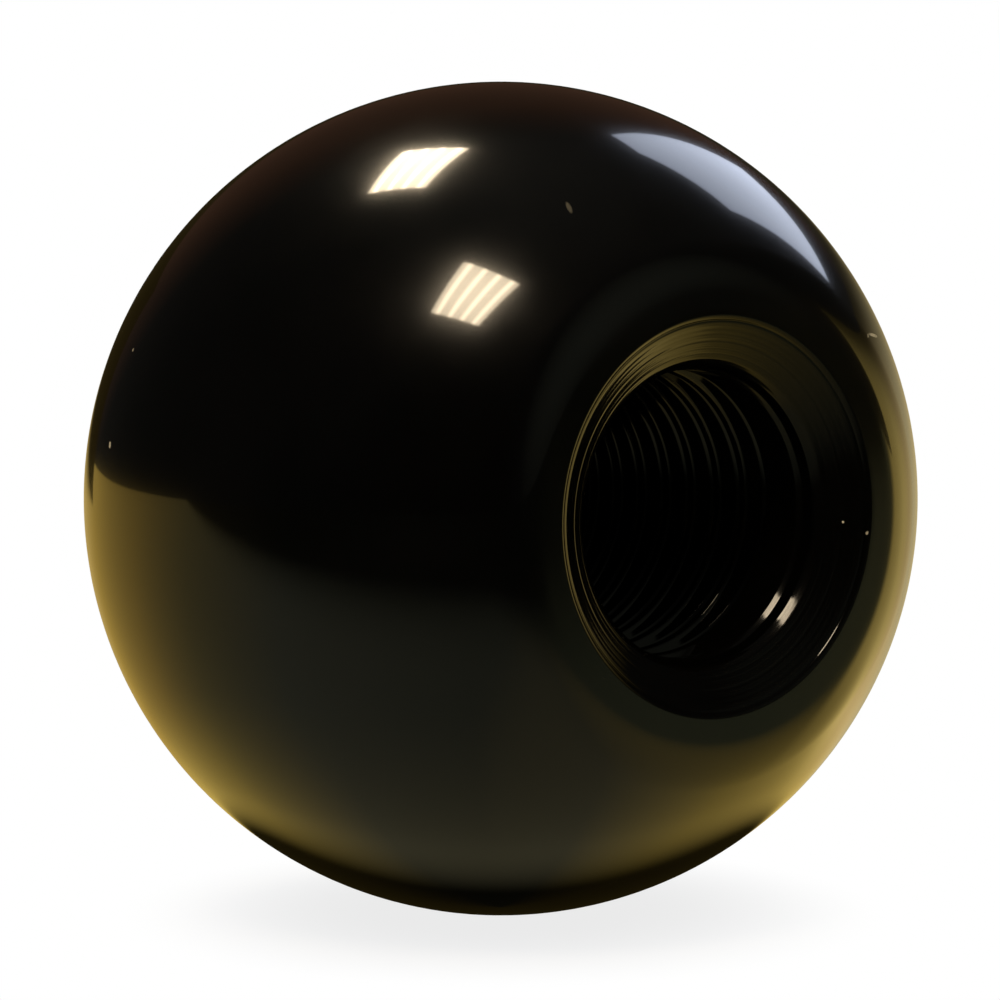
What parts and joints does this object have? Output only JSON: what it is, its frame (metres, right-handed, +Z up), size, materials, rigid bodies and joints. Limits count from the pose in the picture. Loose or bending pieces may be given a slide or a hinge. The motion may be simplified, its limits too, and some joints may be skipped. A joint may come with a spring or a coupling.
{
  "type": "seat release knob",
  "caption": "Black ball knob for a seat release lever: one moulded ball with a flat face and a blind, countersunk, threaded bore for the lever's rod.",
  "frame": {"origin": "where the axis of the threaded bore meets the plane of the flat face", "axes": "-Y along the bore and out of its mouth, towards the lever's rod; +Y through the crown of the ball; +Z up"},
  "size_m": [0.032, 0.0292, 0.032],
  "materials": {
    "phenolic": "polished"
  },
  "bodies": {
    "root": {"ball_knob": "phenolic"}
  },
  "joints": []
}
